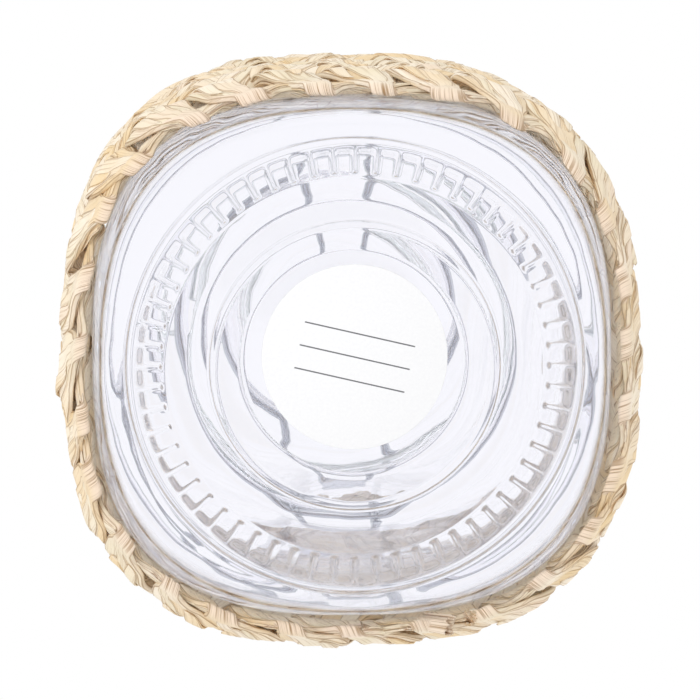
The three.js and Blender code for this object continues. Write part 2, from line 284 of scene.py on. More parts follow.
def fillet(corners, radius, steps=4):
    rounded = [corners[0]]
    for before, corner, after in zip(corners, corners[1:], corners[2:]):
        to_before = np.subtract(before[:2], corner[:2])
        to_after = np.subtract(after[:2], corner[:2])
        reach = min(radius, np.linalg.norm(to_before) / 2.2, np.linalg.norm(to_after) / 2.2)
        start = corner[:2] + to_before / np.linalg.norm(to_before) * reach
        end = corner[:2] + to_after / np.linalg.norm(to_after) * reach
        for t in np.linspace(0, 1, steps):
            point = (1 - t) ** 2 * start + 2 * t * (1 - t) * np.array(corner[:2]) + t * t * end
            rounded.append(tuple(point))
    return rounded + [corners[-1]]


# %% [markdown]
# ## Clear glass
# The jar and lid are pressed soda-lime glass: almost colourless, with a faint cold tint in the thick
# places, a fire-polished skin, and slow waves left by the mould. The real thickness of the wall is in
# the mesh, so one glass shader with the index of soda glass bends the light as the jar does.

# %% Soda glass
soda_glass, tree, shader = finish_named("pressed_soda_glass")
glass_index = 1.52
mould_wave = 9.0               # mm between the mould's slow waves
coords = add(tree, "ShaderNodeTexCoord").outputs["Object"]
waves = add(tree, NOISE, {"Vector": coords, "Scale": 1 / (mould_wave * mm), "Detail": 1.0})
rough = add(tree, RANGE, [waves, 0.35, 0.75, 0.0, 0.03])
bump = add(tree, "ShaderNodeBump", {"Height": waves, "Strength": 0.25, "Distance": 0.25 * mm})
feed(shader, {"Base Color": linear("#fcfcff"), "Transmission Weight": 1.0, "IOR": glass_index,
              "Roughness": rough, "Normal": bump})
print(soda_glass.name, "index", glass_index)

# %% [markdown]
# ## The jar's own rule
# The jar is one rule: a profile of rings, each between a circle and a rounded square. A sheet of points
# is wrapped round, each row of it takes its radius, height and squareness from the profile, and ribs are
# pressed into the foot. The columns crowd together at the ribs, so that their edges stay crisp. The lid and
# the label follow the same rule with round rings and no ribs. The radius of a rounded square is a small
# group of its own, because the sleeve follows the same outline later.

# %% Group that gives the outline's radius
group = outline_group = bpy.data.node_groups.new("rounded_square_radius", "GeometryNodeTree")
for label in ("Cos", "Sin", "Half width", "Squareness", "Square power"):
    group.interface.new_socket(label, in_out="INPUT", socket_type="NodeSocketFloat")
group.interface.new_socket("Radius", in_out="OUTPUT", socket_type="NodeSocketFloat")
given = add(group, "NodeGroupInput").outputs
extra = add(group, MATH, [given["Square power"], 2.0], "SUBTRACT")
power = add(group, MATH, [extra, given["Squareness"], 2.0], "MULTIPLY_ADD")
parts = []
for side in ("Cos", "Sin"):
    size = add(group, MATH, [given[side]], "ABSOLUTE")
    size = add(group, MATH, [size, 1e-6], "MAXIMUM")
    parts.append(add(group, MATH, [size, power], "POWER"))
total = add(group, MATH, [parts[0], parts[1]], "ADD")
root = add(group, MATH, [1.0, power], "DIVIDE")
norm = add(group, MATH, [total, root], "POWER")
radius = add(group, MATH, [given["Half width"], norm], "DIVIDE")
add(group, "NodeGroupOutput", [radius])
print(group.name, "has", len(group.nodes), "nodes")

# %% Tree that wraps a profile round
wrap, given = new_tree("wrap_profile_round", {
    "Sides": "Int", "Square power": "Float", "Rib count": "Float", "Rib depth": "Float",
    "Wave depth": "Float", "Wave length": "Float", "Finish": "Material"})
rib_foot, rib_crest, rib_crowding = 0.6, 0.97, -0.6     # a rib's edges on a cosine, and the columns' pull
weld = 0.004 * mm                                       # points closer than this become one
source, ribs = given["Geometry"], given["Rib count"]
rings = add(wrap, "GeometryNodeAttributeDomainSize", [source], component="MESH").outputs["Point Count"]
columns = add(wrap, MATH, [given["Sides"], 1.0])
sheet = add(wrap, "GeometryNodeMeshGrid", {"Vertices X": columns, "Vertices Y": rings})
index = add(wrap, "GeometryNodeInputIndex")
row, column = (add(wrap, MATH, [index, rings], way) for way in ("MODULO", "DIVIDE"))
place = add(wrap, "GeometryNodeInputPosition")
relief = add(wrap, "GeometryNodeInputNamedAttribute", {"Name": "relief"}, data_type="FLOAT_VECTOR")
profile, relief = (add(wrap, "GeometryNodeSampleIndex", [source, value, row], data_type="FLOAT_VECTOR",
                       domain="POINT") for value in (place, relief))
reach, squareness, height = add(wrap, SPLIT, [profile]).outputs
ribbed, waved, _ = add(wrap, SPLIT, [relief]).outputs
even = column
for way, by in (("FLOOR", 0.0), ("DIVIDE", given["Sides"]), ("MULTIPLY", math.tau)):
    even = add(wrap, MATH, [even, by], way)
crowd = even
for way, by in (("MULTIPLY", ribs), ("SINE", 0.0), ("MULTIPLY", rib_crowding), ("DIVIDE", ribs)):
    crowd = add(wrap, MATH, [crowd, by], way)
angle = add(wrap, MATH, [even, crowd], "ADD")
cos, sin = (add(wrap, MATH, [angle], way) for way in ("COSINE", "SINE"))
radius = add(wrap, "GeometryNodeGroup", {
    "Cos": cos, "Sin": sin, "Half width": reach, "Squareness": squareness,
    "Square power": given["Square power"]}, node_tree=outline_group)
ripple = add(wrap, MATH, [angle, ribs], "MULTIPLY")
ripple = add(wrap, MATH, [ripple], "COSINE")
rib = add(wrap, RANGE, [ripple, rib_foot, rib_crest, 0.0, -1.0])
rib = add(wrap, MATH, [rib, ribbed], "MULTIPLY")
lifted = add(wrap, MATH, [rib, given["Rib depth"], height], "MULTIPLY_ADD")
x, y = (add(wrap, MATH, [radius, part], "MULTIPLY") for part in (cos, sin))
spot = add(wrap, JOIN, [x, y, lifted])
shape = add(wrap, "GeometryNodeSetPosition", {"Geometry": sheet.outputs["Mesh"], "Position": spot})
shape = add(wrap, STORE, {0: shape, "Name": "waved", "Value": waved})
shape = add(wrap, "GeometryNodeMergeByDistance", {0: shape, "Distance": weld})
pitch = add(wrap, MATH, [1.0, given["Wave length"]], "DIVIDE")
noise = add(wrap, NOISE, {"Vector": place, "Scale": pitch, "Detail": 1.5})
where = add(wrap, "GeometryNodeInputNamedAttribute", {"Name": "waved"}, data_type="FLOAT")
swell = noise
for way, by in (("SUBTRACT", 0.5), ("MULTIPLY", given["Wave depth"]), ("MULTIPLY", where)):
    swell = add(wrap, MATH, [swell, by], way)
normal = add(wrap, "GeometryNodeInputNormal")
push = add(wrap, VECTOR, {0: normal, "Scale": swell}, "SCALE")
shape = add(wrap, "GeometryNodeSetPosition", {"Geometry": shape, "Offset": push})
shape = add(wrap, "GeometryNodeSetShadeSmooth", [shape])
end_tree(wrap, shape, given["Finish"])

# %% Helper that wraps one profile
glass_wave = 20.0              # mm between the swells of the glass


def wrapped(name, rows, finish, sides, square=2.0, ribs=0.0, rib_depth=0.0, wave=0.0):
    rows = [tuple(row) + (0,) * (5 - len(row)) for row in rows]
    points = [(r * mm, s, z * mm) for r, z, s, _, _ in rows]
    piece = new_object(name, points, [(i, i + 1) for i in range(len(points) - 1)])
    relief_values = piece.data.attributes.new("relief", "FLOAT_VECTOR", "POINT")
    for value, (_, _, _, rib_share, wave_share) in zip(relief_values.data, rows):
        value.vector = (rib_share, wave_share, 0)
    return grow(piece, wrap, {
        "Sides": sides, "Square power": square, "Rib count": ribs, "Rib depth": rib_depth * mm,
        "Wave depth": wave * mm, "Wave length": glass_wave * mm, "Finish": finish})


# %% [markdown]
# ## Glass body
# From the middle of the base outwards: the raised panel, its slope, a fine mould line, the ring of narrow
# ribs that the jar stands on, the seam of the mould's base plate, and the heel. Then the side, the shoulder,
# the wire groove and the rim, and back down the inside. The main sizes are the frame's own. The floor turns
# up into the side in a tight corner, because a wide one would throw the view sideways into the sleeve.

# %% Profile of the body
body_half, body_power, body_top, stand_radius = 56.0, 2.75, 98.0, 47.0
heel_height, heel_reach, wall, shoulder_height = 18.0, 9.0, 4.2, 18.0
neck_radius, mouth_radius, bead_radius, rim_top = 45.0, 41.5, 48.5, 130.0
floor_top, panel_height, step_height = 7.5, 3.0, 1.1
floor_edge, corner_height = 47.5, 5.5          # where the floor turns up into the side
seam_radius, seam_depth, seam_half, rib_inner, rib_outer, rib_depth = 48.2, 0.3, 0.3, 41.0, 46.6, 0.33
panel_radius, panel_foot, line_radius, line_half, line_depth = 24.0, 29.4, 31.0, 0.3, 0.25
step_radius, step_foot, rib_length = 35.0, 40.2, 3.5
groove_foot, groove_top, bead_foot, mouth_foot = 116.5, 122.0, 122.2, 112.5
heel_angles = [3, 6, 8, 9, 10, 11.5, 14, 19, 25, 32, 40, 48, 56, 64, 72, 81, 90]    # close at the seam

under = fillet([(0, panel_height), (panel_radius, panel_height), (panel_foot, step_height),
                (line_radius - line_half, step_height), (line_radius, step_height - line_depth),
                (line_radius + line_half, step_height), (step_radius, step_height),
                (step_foot, rib_depth), (rib_inner, rib_depth)], 1.0, 5)
rows = [(r, z, 0, 0, 0) for r, z in under]
for inset, share in [(0.15, 0.5), (0.35, 0.85), (0.7, 1), (1.5, 1), (2.6, 1), (rib_length, 1)]:
    rows.append((rib_inner + inset, rib_depth, 0, share, 0))
for t in np.linspace(0.12, 1, 8):
    level = 1 - t * t * (3 - 2 * t)
    rows.append((rib_inner + rib_length + (rib_outer - rib_inner - rib_length) * t, rib_depth * level, 0,
                 level, 0))
rows.append((stand_radius, 0, 0, 0, 0))
for turn in np.radians(heel_angles):
    r = stand_radius + heel_reach * math.sin(turn)
    seam = seam_depth * math.exp(-((r - seam_radius) / seam_half) ** 2)
    rows.append((r, heel_height * (1 - math.cos(turn)) + seam, math.sin(turn) ** 2, 0, 0.5))
rows += [(body_half, z, 1, 0, 0.4) for z in np.linspace(heel_height, body_top, 7)[1:]]
for turn in np.radians(np.linspace(0, 90, 12)[1:]):
    rows.append((neck_radius + (body_half - neck_radius) * math.cos(turn),
                 body_top + shoulder_height * math.sin(turn), math.cos(turn) ** 2, 0, 0.3))
rim = fillet([(neck_radius, groove_foot), (neck_radius, groove_top), (bead_radius, bead_foot),
              (bead_radius, rim_top), (mouth_radius, rim_top), (mouth_radius, mouth_foot)], 1.6, 5)
rows += [(r, z, 0, 0, 0) for r, z in rim]
inside = body_half - wall
for turn in np.radians(np.linspace(0, 90, 9)):
    rows.append((mouth_radius + (inside - mouth_radius) * math.sin(turn),
                 body_top + (shoulder_height - wall) * math.cos(turn), math.sin(turn) ** 2, 0, 0.6))
rows += [(inside, z, 1, 0, 1) for z in np.linspace(body_top, floor_top + corner_height, 9)[1:]]
for turn in np.radians(np.linspace(0, 90, 13)[1:]):
    rows.append((floor_edge + (inside - floor_edge) * math.cos(turn),
                 floor_top + corner_height * (1 - math.sin(turn)), 0.6 + 0.4 * math.cos(turn) ** 2, 0, 1))
rows += [(r, floor_top, 0, 0, 1) for r in (42, 37, 31, 24, 16, 8, 0)]
glass_body = wrapped("jar_body", rows, soda_glass, 660, square=body_power, ribs=60, rib_depth=rib_depth,
                     wave=0.35)
dress(glass_body, "jar", "jar_glass", "glass_jar")

# %% [markdown]
# ## Glass lid
# A round pressed lid: a flange over the rim, a boss that drops into the mouth, a raised middle that the
# lid wire goes round, and a shallow hollow underneath.

# %% Lid
hollow_radius, hollow_foot, hollow_top = 33.3, 36.8, 136.2
boss_radius, boss_foot, flange_radius, flange_foot, flange_top = 40.3, 130.2, 48.0, 133.2, 138.0
crown_radius, crown_top = 31.0, 143.0
lid_profile = fillet([(0, hollow_top), (hollow_radius, hollow_top), (hollow_foot, boss_foot),
                      (boss_radius, boss_foot), (boss_radius, flange_foot), (flange_radius, flange_foot),
                      (flange_radius, flange_top), (crown_radius, flange_top), (crown_radius, crown_top),
                      (0, crown_top)], 2.0, 6)
glass_lid = wrapped("lid_disc", [(r, z, 0, 0, 1) for r, z in lid_profile], soda_glass, 240, wave=0.12)
dress(glass_lid, "lid", "lid_glass", "glass_lid")

# %% [markdown]
# ## Label
# A round sticker of coated paper under the base, left bare but for three rules to write on. Paper is never
# quite flat: faint fibres show in its bump. The rules are thin grey lines on the object's own coordinates,
# turned a little because stickers never go on straight, and only the face that looks down has them.

# %% Label paper
label_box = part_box("base_label")
label_middle = (label_box[0] + label_box[1]) / 2
label_radius = (label_box[1].x - label_box[0].x) / 2 / mm
label_turn = math.radians(-13)
line_width, rule_pitch, rule_half, fibre_size = 0.3, 5.0, 12.0, 0.6
label_paper, tree, shader = finish_named("coated_label_paper")
coords = add(tree, "ShaderNodeTexCoord")
centred = add(tree, VECTOR, [coords.outputs["Object"], label_middle], "SUBTRACT")
turned = add(tree, "ShaderNodeMapping", {"Vector": centred, "Rotation": (0, 0, label_turn)})
across, along, _ = add(tree, SPLIT, [turned]).outputs
nearest = add(tree, MATH, [along, rule_pitch / 2 * mm], "PINGPONG")
rule = add(tree, MATH, [nearest, line_width / 2 * mm], "LESS_THAN")
width = add(tree, MATH, [across, 0.0, rule_half * mm], "COMPARE")
depth = add(tree, MATH, [along, 0.0, 1.2 * rule_pitch * mm], "COMPARE")
front = add(tree, SPLIT, [coords.outputs["Normal"]])
front = add(tree, MATH, [front.outputs["Z"], -0.5], "LESS_THAN")
ink = rule
for within in (width, depth, front):
    ink = add(tree, MATH, [ink, within], "MULTIPLY")
fibres = add(tree,
             NOISE, {"Vector": coords.outputs["Object"], "Scale": 1 / (fibre_size * mm), "Detail": 3.0})
tone = add(tree, "ShaderNodeMix", {0: fibres, 6: linear("#eaeaec"), 7: linear("#f4f4f4")}, data_type="RGBA")
ruled = add(tree, "ShaderNodeMix", {0: ink, 6: tone.outputs[2], 7: linear("#6a6a6e")}, data_type="RGBA")
bump = add(tree, "ShaderNodeBump", {"Height": fibres, "Strength": 0.2, "Distance": 0.03 * mm})
feed(shader, {"Base Color": ruled.outputs[2], "Roughness": 0.55, "Normal": bump})
print(label_paper.name, "rules every", rule_pitch, "mm, middle at y", round(label_middle.y / mm, 2), "mm")

# %% Label disc
label_low, label_high = (p.z / mm for p in label_box)
label_profile = [(0, label_low), (label_radius, label_low), (label_radius, label_high), (0, label_high)]
label = wrapped("paper_label", fillet(label_profile, 0.1, 3), label_paper, 160)
label.data.transform(Matrix.Translation((0, label_middle.y, 0)))
dress(label, "jar", "label_paper", "base_label")

# %% [markdown]
# ## Dry leaf
# The sleeve is plaited from a flat, dry leaf, split and twisted into flat strands: cream on the side that
# was bleached by light, amber on the inner side, pinker where a strand is rolled over at the edge of a
# row. Its fibres run along the strand, so the pattern follows the strand's own map: millimetres across
# and along. Fibres a third of a millimetre apart are drawn a little coarser, so that they show.

# %% Rush leaf
rush, tree, shader = finish_named("dry_rush_leaf")
fibre_pitch, fibre_length, patch_size = 0.5, 18.0, 18.0
rib_stretch, crease_shade_stretch = (0.35, 0.7, 1.0), (0.62, 0.25, 1.0)
fold_strength, lot_share = 0.85, 0.6     # how far a fold takes its own colour, and a leaf its own tint
strand_map = add(tree, "ShaderNodeUVMap", uv_map="strand")
turn, fold, blade, edge = (add(tree, "ShaderNodeAttribute", attribute_name=name).outputs["Fac"]
                           for name in ("turn", "fold", "blade", "edge"))
coords = add(tree, "ShaderNodeTexCoord").outputs["Object"]
across, along, _ = add(tree, SPLIT, [strand_map]).outputs
fibre_across = add(tree, MATH, [across, 1 / fibre_pitch], "MULTIPLY")
fibre_along = add(tree, MATH, [along, 1 / fibre_length], "MULTIPLY")
fibre_spot = add(tree, JOIN, [fibre_across, fibre_along, turn])
fibre = add(tree, NOISE, {"Vector": fibre_spot, "Scale": 1.0, "Detail": 3.0, "Roughness": 0.6})
stretched = (add(tree, VECTOR, [fibre_spot, stretch], "MULTIPLY")
             for stretch in (rib_stretch, crease_shade_stretch))
rib, crease_shade = (add(tree, NOISE, {"Vector": spot, "Scale": 1.0, "Detail": 1.0})
              for spot in stretched)
which = add(tree, JOIN, [turn, blade])
lot = add(tree, "ShaderNodeTexWhiteNoise", {"Vector": which}, noise_dimensions="2D")
patch = add(tree, NOISE, {"Vector": coords, "Scale": 1 / (patch_size * mm), "Detail": 2.0})
patch = add(tree, RANGE, [patch, 0.3, 0.7])
tint = add(tree, "ShaderNodeMix", {0: lot_share, 2: patch, 3: lot.outputs["Value"]})
leaf = add(tree, "ShaderNodeValToRGB", [tint])
set_stops(leaf.color_ramp, [(0.1, "#ebd0a2"), (0.35, "#efdab9"), (0.55, "#f7ebd8"), (0.75, "#ecdfc3"),
                            (0.95, "#f3dfcb")])
rolled = add(tree, MATH, [fold, fold_strength], "MULTIPLY")
leaf = add(tree, "ShaderNodeMix", {0: rolled, 6: leaf, 7: linear("#eed9c4")}, data_type="RGBA")
# Painted shade: thin dark lines across the folds, standing for the shade in the creases of the rolled leaf.
crease_shade = add(tree, MATH, [crease_shade, 0.5, 0.035], "COMPARE")
crease_shade = add(tree, MATH, [crease_shade, fold], "MULTIPLY")
line = add(tree, RANGE, [fibre, 0.3, 0.48, 0.55, 0.0])
line = add(tree, MATH, [crease_shade, 0.6, line], "MULTIPLY_ADD", use_clamp=True)
# Painted shade: a dark line along each leaf's sides, where one leaf lies on another and shade would fall.
# The same value darkens the cut ends of the stems.
edge_shade_and_cut_ends = add(tree, RANGE, [edge, 0.88, 1.0, 0.0, 0.9])
line = add(tree, MATH, [line, edge_shade_and_cut_ends], "MAXIMUM")
# The brown of the fibre lines, used as well for the painted crease shade and the painted shade at the
# leaves' sides.
leaf = add(tree, "ShaderNodeMix", {0: line, 6: leaf.outputs[2], 7: linear("#9c784c")}, data_type="RGBA")
dull = add(tree, RANGE, [fibre, 0.3, 0.7, 0.7, 0.45])
relief = add(tree, MATH, [rib, 1.5, fibre], "MULTIPLY_ADD")
bump = add(tree, "ShaderNodeBump", {"Height": relief, "Strength": 0.7, "Distance": 0.25 * mm})
feed(shader, {"Base Color": leaf.outputs[2], "Roughness": dull, "Specular IOR Level": 0.35, "Normal": bump})
print(rush.name, "fibres", fibre_pitch, "mm apart")

# %% [markdown]
# ## One wave of a strand
# A flat strand in a three-strand plait runs up on the inside, comes forward half way, folds over the
# row's edge, and runs down on the inside again. Every fibre follows the same zigzag, shifted along the
# row, so the strand is that zigzag drawn out sideways. It is pinched to a tight roll at the folds and
# spreads where it crosses the others. Five leaves make a strand: a core and two blades on each face. Two
# short pointed leaves lie on each crossing as well, where a new leaf was laid in and its tip shows.
# The wave is drawn straight here, and bent round the jar afterwards.

# %% Zigzag of one wave
plait_periods, row_reach, core_thickness = 9, 11.65, 1.6
sleeve_middle, layer_depth, fold_radius, fold_slide = 3.6, 1.85, 0.65, 0.8
row_heights = [19.65, 39.35, 59.05, 78.75]
rise_over, sink_from, sink_over, roll_from = 0.34, 0.36, 0.3, 0.8     # as shares of half a row
roll_most = 0.7                # how far a strand is rolled just before its fold
outline_angles = np.linspace(0, math.tau, 1441)


def body_outline(angles, offset):
    def point(a):
        way = np.stack([np.cos(a), np.sin(a)], -1)
        return way * (body_half / (np.abs(way) ** body_power).sum(-1, keepdims=True) ** (1 / body_power))
    step = 1e-4
    ahead = point(angles + step) - point(angles - step)
    out = np.stack([ahead[:, 1], -ahead[:, 0]], -1) / np.linalg.norm(ahead, axis=1)[:, None]
    return point(angles) + out * offset


outline = body_outline(outline_angles, sleeve_middle)
sleeve_length = np.linalg.norm(np.diff(outline, axis=0), axis=1).sum()
period = sleeve_length / plait_periods
fold_level = row_reach - core_thickness / 2


def half_wave():
    turn = np.radians(np.linspace(0, 90, 6))
    fold_in = np.stack([fold_slide * turn / turn[-1], fold_radius * (1 - np.cos(turn)) - fold_level,
                        -fold_radius * np.sin(turn), np.cos(turn)], -1)
    share = np.linspace(-1, 1, 30)[1:-1]
    up = np.sin(np.clip(np.abs(share) / rise_over, 0, 1) * math.pi / 2)
    down = np.clip((np.abs(share) - sink_from) / sink_over, 0, 1)
    down = down * down * (3 - 2 * down)
    depth = np.sign(share) * (layer_depth * up - (layer_depth - fold_radius) * down)
    rolled = np.clip((np.abs(share) - roll_from) / (1 - roll_from), 0, 1) ** 2 * roll_most
    run = np.stack([period / 4 + (period / 4 - fold_slide) * share, (fold_level - fold_radius) * share,
                    depth, rolled], -1)
    fold_out = fold_in[::-1] * [-1, -1, -1, 1] + [period / 2, 0, 0, 0]
    return np.concatenate([fold_in, run, fold_out])


rising = half_wave()
falling = rising[1:] * [1, -1, 1, 1] + [period / 2, 0, 0, 0]
wave = np.concatenate([rising, falling])
start = len(rising) // 3
wave = np.concatenate([wave[start:], wave[1:start + 1] + [period, 0, 0, 0]])
print("sleeve", round(sleeve_length, 1), "mm round, one wave", round(period, 2), "mm,", len(wave), "points")

# %% Leaves of one wave
next_wave = [period, 0, 0, 0]
looped = np.concatenate([wave[-2:-1] - next_wave, wave, wave[1:2] + next_wave])
slope = np.gradient(looped[:, 1:3], axis=0)[1:-1]
slope /= np.linalg.norm(slope, axis=1)[:, None]
normal = np.stack([-slope[:, 1], slope[:, 0]], -1)
length = np.concatenate([[0], np.cumsum(np.linalg.norm(np.diff(wave[:, :3], axis=0), axis=1))])
share = wave[:, 1] / fold_level
spread = np.interp(np.abs(share), [0, 0.2, 0.38, 0.6, 0.85, 1], [4.6, 6.2, 7.2, 6.0, 3.8, 3.2])
pressed = np.interp(np.abs(share), [0, 0.34, 0.6, 0.85, 1], [0.85, 0.95, 0.75, 0.85, 1.0])
squeeze_end, squeeze_over = 0.95, 0.3    # where the outer leaves run together at a fold
side_shade = 0.89                         # how much painted shade a leaf's very sides get
map_gap, map_lean = 25, 1.3              # mm between two leaves on the map, and how a leaf tilts on it


def leaf_tube(shift, width, thickness, lift, across, number, window=None):
    squeezed = np.clip((squeeze_end - np.sign(lift) * share) / squeeze_over, 0, 1)
    stations, taper = range(len(wave)), np.ones(len(wave))
    if window:
        spot = share * np.sign(lift)
        stations = np.nonzero((slope[:, 0] * lift > 0) & (spot > window[0]) & (spot < window[1]))[0]
        taper[stations] = np.sqrt(1 - np.linspace(-1, 1, len(stations)) ** 2)
    section = [(u, e) for u, e in across] + [(u, -e) for u, e in across[::-1]]
    points, uv, shares = [], [], []
    for i in stations:
        s, z, d, fold_value = wave[i]
        for u, e in section:
            v = shift * squeezed[i] + spread[i] * width * u * taper[i]
            e = (lift * squeezed[i] + thickness / 2 * e * taper[i]) * pressed[i]
            points.append((s + v, d + normal[i, 1] * e, z + normal[i, 0] * e))
            uv.append((map_gap * number + v + map_lean * e, length[i] + v))
            # The last value marks a leaf's sides, where the finish paints its dark lines of shade.
            shares.append((fold_value, v * mm, number, side_shade if abs(u) == 1 else float(abs(u) > 0.9)))
    sides = len(section)
    faces = [(i + j, i + (j + 1) % sides, i + sides + (j + 1) % sides, i + sides + j)
             for i in range(0, (len(stations) - 1) * sides, sides) for j in range(sides)]
    return points, faces, uv, shares


core_section = [(-1, 0.4), (-0.95, 0.85), (-0.6, 1.0), (-0.2, 0.9), (0.2, 1.05), (0.6, 0.95), (0.95, 0.85),
                (1, 0.4)]
blade_section = [(-1, 0.5), (-0.93, 1.0), (-0.3, 1.15), (0.3, 0.9), (0.93, 1.0), (1, 0.5)]
tip_section = [(-1, 0.5), (-0.92, 1.0), (0, 1.2), (0.92, 1.0), (1, 0.5)]
leaves = [(0, 1.0, core_thickness, 0, core_section), (0.8, 0.66, 0.6, 0.8, blade_section),
          (-0.8, 0.66, 0.6, -0.8, blade_section), (-1.2, 0.36, 0.45, 1.1, blade_section),
          (1.2, 0.36, 0.45, -1.1, blade_section)]
for side in (1, -1):
    leaves += [(2.6 * side, 0.24, 0.4, 1.35 * side, tip_section),
               (-2.4 * side, 0.3, 0.4, 1.2 * side, tip_section)]
windows = [None] * 5 + [(0.02, 0.72), (-0.2, 0.55)] * 2
wave_points, wave_faces, wave_uv, wave_shares = [], [], [], []
for number, (leaf, window) in enumerate(zip(leaves, windows)):
    points, faces, uv, shares = leaf_tube(*leaf, number, window)
    first = len(wave_points)
    wave_faces += [tuple(i + first for i in f) for f in faces]
    wave_points += points
    wave_uv += uv
    wave_shares += shares
print("one wave:", len(leaves), "leaves,", len(wave_faces), "faces")

# %% [markdown]
# ## Bending a strand round the jar
# A tree lays nine waves end to end and bends them round the jar: how far along a point lies becomes its
# place on the jar's outline, and its depth is measured out from there. Below the side it leans in over the
# heel, by the same rule as the glass. Hand work is never even, so noise that is read at the place on the
# jar makes the leaves wider and narrower and pushes them in, out, up, down and along.

# %% Tree that bends a strand round
plait, given = new_tree("plait_round_jar", {
    "Outline": "Object", "Waves": "Int", "Wave length": "Float", "Start": "Float", "Row height": "Float",
    "Middle": "Float", "Stand radius": "Float", "Heel reach": "Float", "Heel height": "Float",
    "Square power": "Float", "Unevenness": "Float", "Lump size": "Float", "Width change": "Float",
    "Blade drift": "Float", "Blade rise": "Float", "Seed": "Float", "Finish": "Material"})
strand_stride, blade_stride = 10.0, 3.7     # keep each strand's and each blade's chances apart
noise_middle, glass_gap = (0.5, 0.5, 0.5), 0.2 * mm
step = add(plait, JOIN, [given["Wave length"]])
first = add(plait, JOIN, [given["Start"]])
line = add(plait, "GeometryNodeMeshLine", {
    "Count": given["Waves"], "Start Location": first, "Offset": step}, mode="OFFSET")
waves = add(plait, "GeometryNodeInstanceOnPoints", {"Points": line, "Instance": given["Geometry"]})
index = add(plait, "GeometryNodeInputIndex")
number = add(plait, MATH, [given["Seed"], strand_stride, index], "MULTIPLY_ADD")
waves = add(plait, STORE, {0: waves, "Name": "turn", "Value": number}, data_type="FLOAT", domain="INSTANCE")
waves = add(plait, "GeometryNodeRealizeInstances", [waves])
place = add(plait, "GeometryNodeInputPosition")
along, depth, height = add(plait, SPLIT, [place]).outputs
whole = add(plait, MATH, [given["Waves"], given["Wave length"]], "MULTIPLY")
level = add(plait, MATH, [height, given["Row height"]], "ADD")
pitch = add(plait, MATH, [1.0, given["Lump size"]], "DIVIDE")

across, blade = (add(plait, "GeometryNodeInputNamedAttribute", {"Name": name}, data_type="FLOAT")
                 for name in ("across", "blade"))
spine = along
for way, by in (("SUBTRACT", across), ("DIVIDE", whole), ("MULTIPLY", math.tau)):
    spine = add(plait, MATH, [spine, by], way)
ring = add(plait, MATH, [whole, 1 / math.tau], "MULTIPLY")
parts = (add(plait, MATH, [spine], way) for way in ("COSINE", "SINE"))
ring_spot = [add(plait, MATH, [part, ring], "MULTIPLY") for part in parts]
spine_spot = add(plait, JOIN, ring_spot + [level])
own = add(plait, MATH, [blade, blade_stride, given["Seed"]], "MULTIPLY_ADD")
widen = add(plait, NOISE, {"Vector": spine_spot, "W": own, "Scale": pitch, "Detail": 1.0},
            noise_dimensions="4D")
change = add(plait, VECTOR, [widen.outputs["Color"], noise_middle], "SUBTRACT")
wider, drift, raised = add(plait, SPLIT, [change]).outputs
wider = add(plait, MATH, [wider, given["Width change"]], "MULTIPLY")
drift = add(plait, MATH, [drift, given["Blade drift"]], "MULTIPLY")
moved = add(plait, MATH, [wider, across, along], "MULTIPLY_ADD")
moved = add(plait, MATH, [moved, drift], "ADD")
around = add(plait, MATH, [moved, whole, 0.0], "WRAP")

route = add(plait, "GeometryNodeObjectInfo", {"Object": given["Outline"]})
stop = add(plait, "GeometryNodeSampleCurve", {"Curves": route.outputs["Geometry"], "Length": around},
           mode="LENGTH", use_all_curves=True)
centre, ahead = stop.outputs["Position"], stop.outputs["Tangent"]
out = add(plait, VECTOR, [ahead, (0, 0, 1)], "CROSS_PRODUCT")
up = add(plait, JOIN, {2: level})
level_spot = add(plait, VECTOR, [centre, up], "ADD")
noise = add(plait, NOISE, {"Vector": level_spot, "W": given["Seed"], "Scale": pitch, "Detail": 2.0},
            noise_dimensions="4D")
shake = add(plait, VECTOR, [noise.outputs["Color"], noise_middle], "SUBTRACT")
shake = add(plait, VECTOR, {0: shake, "Scale": given["Unevenness"]}, "SCALE")
in_out, back_forth, up_down = add(plait, SPLIT, [shake]).outputs
loose = add(plait, MATH, [blade, 1.0], "MINIMUM")
loose = add(plait, MATH, [loose, given["Blade rise"]], "MULTIPLY")
deep = add(plait, MATH, [loose, raised, depth], "MULTIPLY_ADD")
deep = add(plait, MATH, [deep, in_out], "ADD")
least = add(plait, MATH, [glass_gap, given["Middle"]], "SUBTRACT")
deep = add(plait, MATH, [deep, least], "MAXIMUM")
offset = add(plait, VECTOR, {0: out, "Scale": deep}, "SCALE")

inward = add(plait, MATH, [given["Middle"], -1.0], "MULTIPLY")
glass = add(plait, VECTOR, {0: out, "Scale": inward}, "SCALE")
glass = add(plait, VECTOR, [centre, glass], "ADD")
reach = add(plait, VECTOR, [glass], "LENGTH").outputs["Value"]
ray = add(plait, VECTOR, [glass], "NORMALIZE")
ray_cos, ray_sin, _ = add(plait, SPLIT, [ray]).outputs
heel_cos = add(plait, MATH, [level, given["Heel height"]], "DIVIDE")
heel_cos = add(plait, MATH, [1.0, heel_cos], "SUBTRACT", use_clamp=True)
square = add(plait, MATH, [heel_cos, heel_cos], "MULTIPLY")
square = add(plait, MATH, [1.0, square], "SUBTRACT")
heel_sin = add(plait, MATH, [square], "SQRT")
half_width = add(plait, MATH, [heel_sin, given["Heel reach"], given["Stand radius"]], "MULTIPLY_ADD")
heel = add(plait, "GeometryNodeGroup", {
    "Cos": ray_cos, "Sin": ray_sin, "Half width": half_width, "Squareness": square,
    "Square power": given["Square power"]}, node_tree=outline_group)
lean = add(plait, MATH, [heel, reach], "SUBTRACT")
lean = add(plait, VECTOR, {0: ray, "Scale": lean}, "SCALE")

